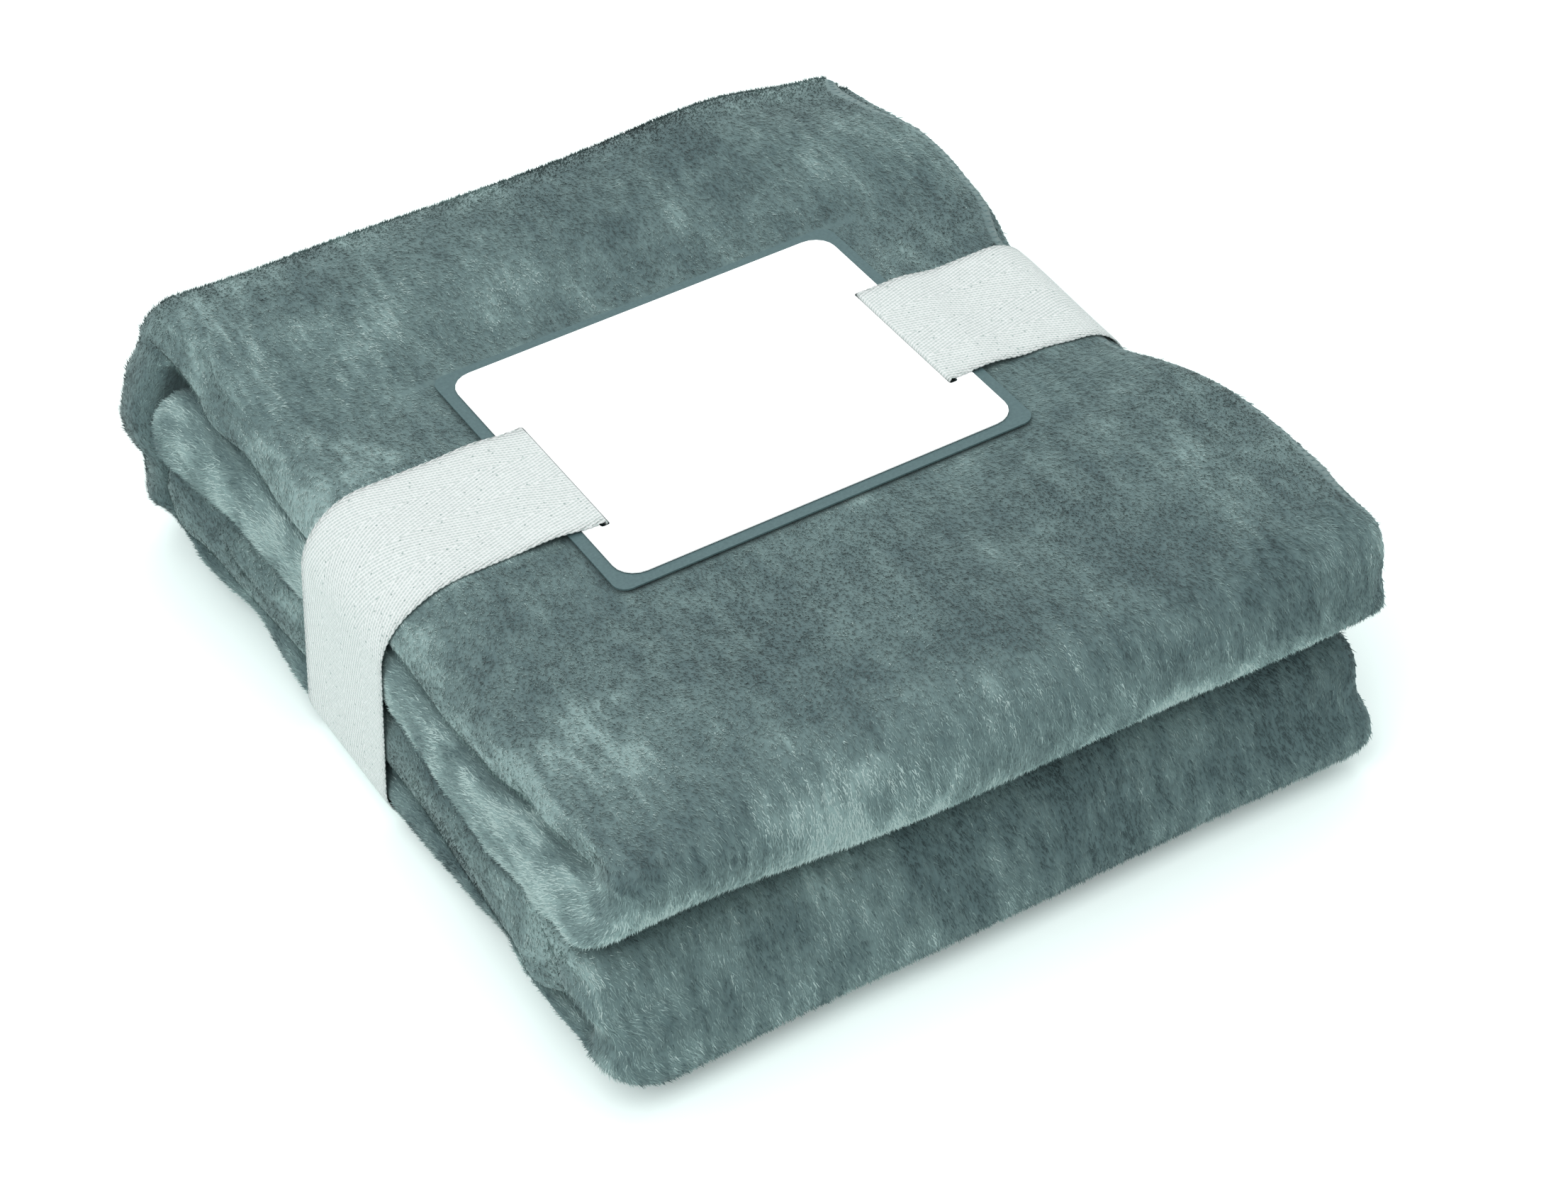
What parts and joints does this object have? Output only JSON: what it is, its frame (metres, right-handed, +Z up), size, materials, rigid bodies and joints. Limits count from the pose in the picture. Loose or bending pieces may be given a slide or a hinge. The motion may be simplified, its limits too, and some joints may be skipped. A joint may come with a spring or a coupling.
{
  "type": "folded throw blanket",
  "caption": "Plush throw blanket folded into a flat pack, held by a wide herringbone cotton tape threaded through a blank slotted card.",
  "frame": {"origin": "below the middle of the whole pack, on the surface it rests on", "axes": "+X along the folds, towards the side with the hems and the care label; +Y from the two front folds to the spine; +Z up, through the card"},
  "size_m": [0.2978, 0.3471, 0.0943],
  "materials": {
    "plush": "matt plush with a brushed nap",
    "hem_thread": "matt thread",
    "label_satin": "satin ribbon, blank",
    "cotton_twill": "matt herringbone twill",
    "white_thread": "matt thread",
    "grey_board": "satin coated board",
    "white_face": "smooth white, blank"
  },
  "bodies": {
    "blanket": {"blanket": "plush", "hem_stitching": "hem_thread", "care_label": "label_satin"},
    "band": {"cotton_tape": "cotton_twill", "tape_seam_stitches": "white_thread"},
    "card": {"card_board": "grey_board", "card_face": "white_face"}
  },
  "joints": [
    {"name": "band_slide", "type": "slide", "parent": "blanket", "child": "band", "axis": [0, 1, 0], "range_m": [-0.27, 0.24]},
    {"name": "card_slide", "type": "slide", "parent": "band", "child": "card", "axis": [1, 0, 0], "range_m": [-0.012, 0.012], "deforming": ["cotton_tape"]}
  ]
}
